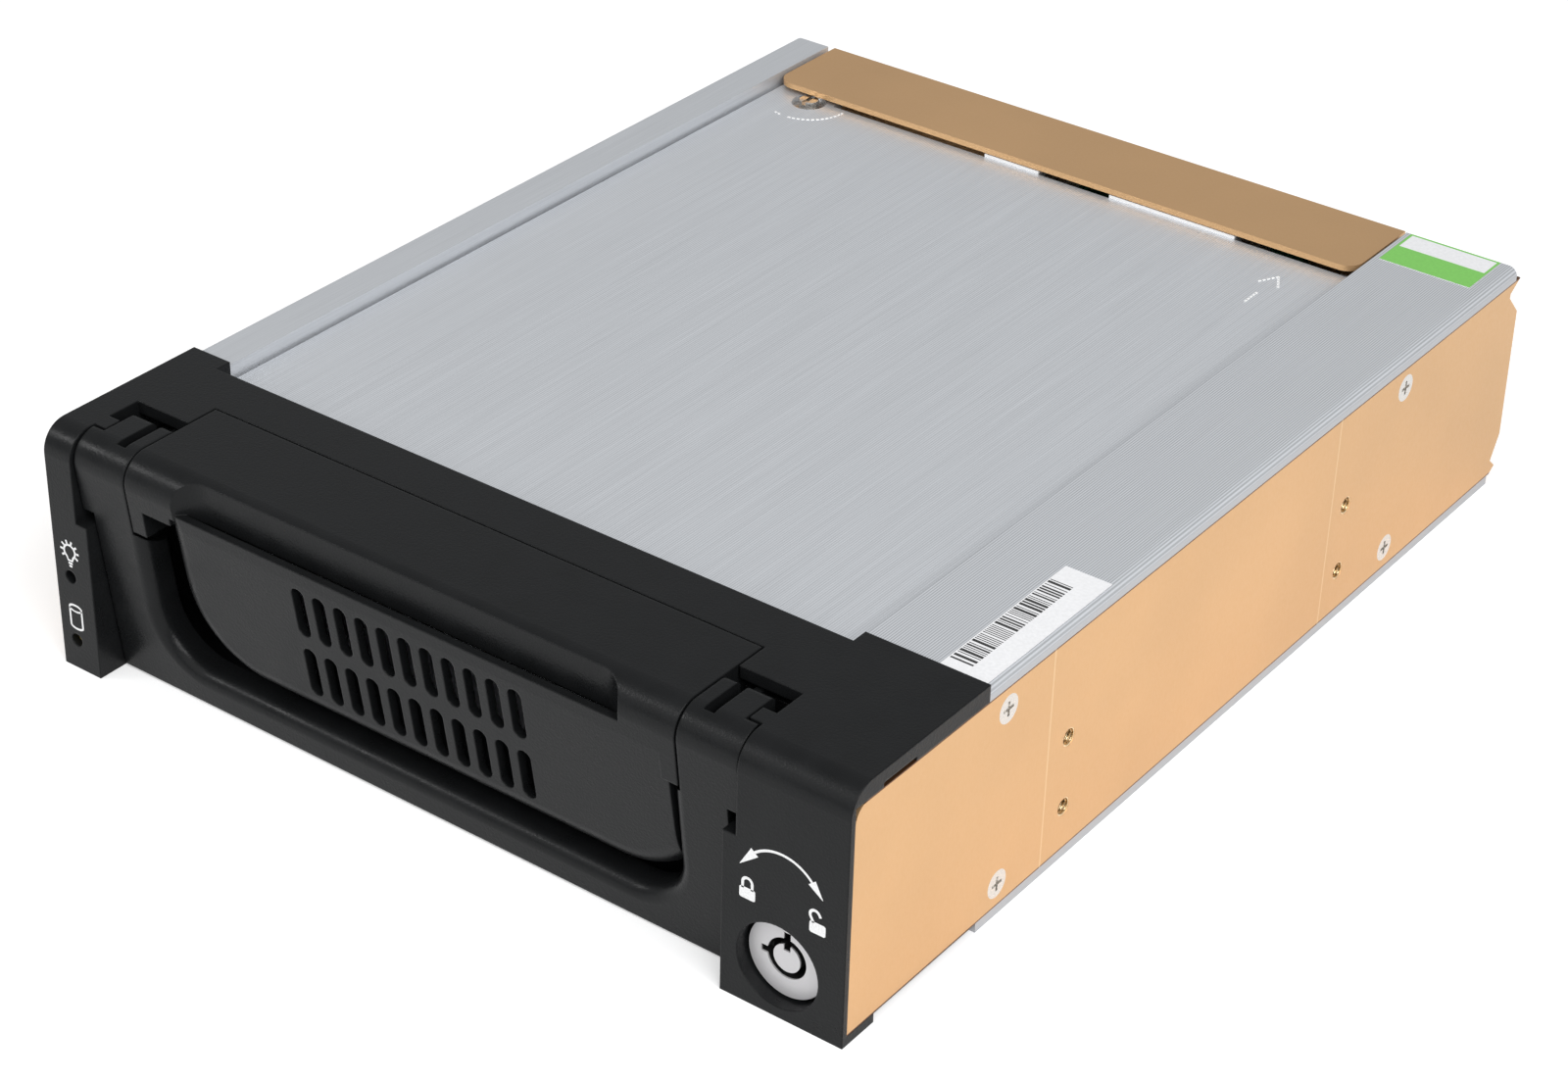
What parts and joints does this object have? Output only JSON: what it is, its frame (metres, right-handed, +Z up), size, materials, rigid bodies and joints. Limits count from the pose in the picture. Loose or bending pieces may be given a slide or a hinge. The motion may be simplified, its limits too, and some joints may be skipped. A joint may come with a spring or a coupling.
{
  "type": "hot swap drive cage",
  "caption": "Half-height bay frame with a key lock and a pull-out drive carrier that has a bail handle, a vented hood and a sliding lid.",
  "frame": {"origin": "centre of the bounding box's bottom face", "axes": "+X to the right seen from the front, +Y towards the rear, +Z up"},
  "size_m": [0.146, 0.188, 0.0413],
  "materials": {
    "front_bezel": "fine moulded texture",
    "left_rail": "satin extrusion with fine lengthwise lines",
    "right_rail": "satin extrusion with fine lengthwise lines",
    "left_side_plate": "yellow passivated sheet",
    "right_side_plate": "yellow passivated sheet",
    "rear_panel": "yellow passivated sheet",
    "side_screws": "plain zinc",
    "rear_screws": "plain zinc",
    "backplane_board": "solder mask",
    "backplane_sockets": "moulded",
    "data_port": "fine moulded texture",
    "power_inlet": "moulded",
    "light_board": "solder mask",
    "power_light": "clear tinted",
    "drive_light": "clear tinted",
    "lock_housing": "polished",
    "lock_nut": "plain zinc",
    "lock_core": "polished",
    "lock_cam": "plain zinc",
    "cam_screw": "plain zinc",
    "carrier_front": "fine moulded texture",
    "handle_pins": "plain zinc",
    "handle": "fine moulded texture",
    "carrier_tray": "satin extrusion with fine lengthwise lines",
    "tray_screws": "plain zinc",
    "carrier_board": "solder mask",
    "drive_socket": "fine moulded texture",
    "docking_plugs": "moulded",
    "lid": "satin extrusion with fine lengthwise lines",
    "lid_latch": "plain zinc"
  },
  "bodies": {
    "frame": {"front_bezel": "front_bezel", "left_rail": "left_rail", "right_rail": "right_rail", "left_side_plate": "left_side_plate", "right_side_plate": "right_side_plate", "rear_panel": "rear_panel", "side_screws": "side_screws", "rear_screws": "rear_screws", "backplane_board": "backplane_board", "backplane_sockets": "backplane_sockets", "data_port": "data_port", "power_inlet": "power_inlet", "light_board": "light_board", "power_light": "power_light", "drive_light": "drive_light", "lock_housing": "lock_housing", "lock_nut": "lock_nut"},
    "carrier": {"carrier_front": "carrier_front", "handle_pins": "handle_pins", "carrier_tray": "carrier_tray", "tray_screws": "tray_screws", "carrier_board": "carrier_board", "drive_socket": "drive_socket", "docking_plugs": "docking_plugs"},
    "handle": {"handle": "handle"},
    "lid": {"lid": "lid"},
    "lid_latch": {"lid_latch": "lid_latch"},
    "lock_core": {"lock_core": "lock_core", "lock_cam": "lock_cam", "cam_screw": "cam_screw"}
  },
  "joints": [
    {"name": "carrier_slide", "type": "slide", "parent": "frame", "child": "carrier", "axis": [0, -1, 0], "range_m": [0, 0.175]},
    {"name": "handle_swing", "type": "hinge", "parent": "carrier", "child": "handle", "pos_m": [-0.00635, -0.0855, 0.0355], "axis": [-1, 0, 0], "range_deg": [0, 85]},
    {"name": "lid_slide", "type": "slide", "parent": "carrier", "child": "lid", "axis": [0, 1, 0], "range_m": [0, 0.008]},
    {"name": "lid_latch_turn", "type": "hinge", "parent": "lid", "child": "lid_latch", "pos_m": [-0.0568, 0.0735, 0.036], "axis": [0, 0, -1], "range_deg": [0, 90]},
    {"name": "lock_turn", "type": "hinge", "parent": "frame", "child": "lock_core", "pos_m": [0.0621, -0.085, 0.0084], "axis": [0, -1, 0], "range_deg": [0, 90]}
  ]
}
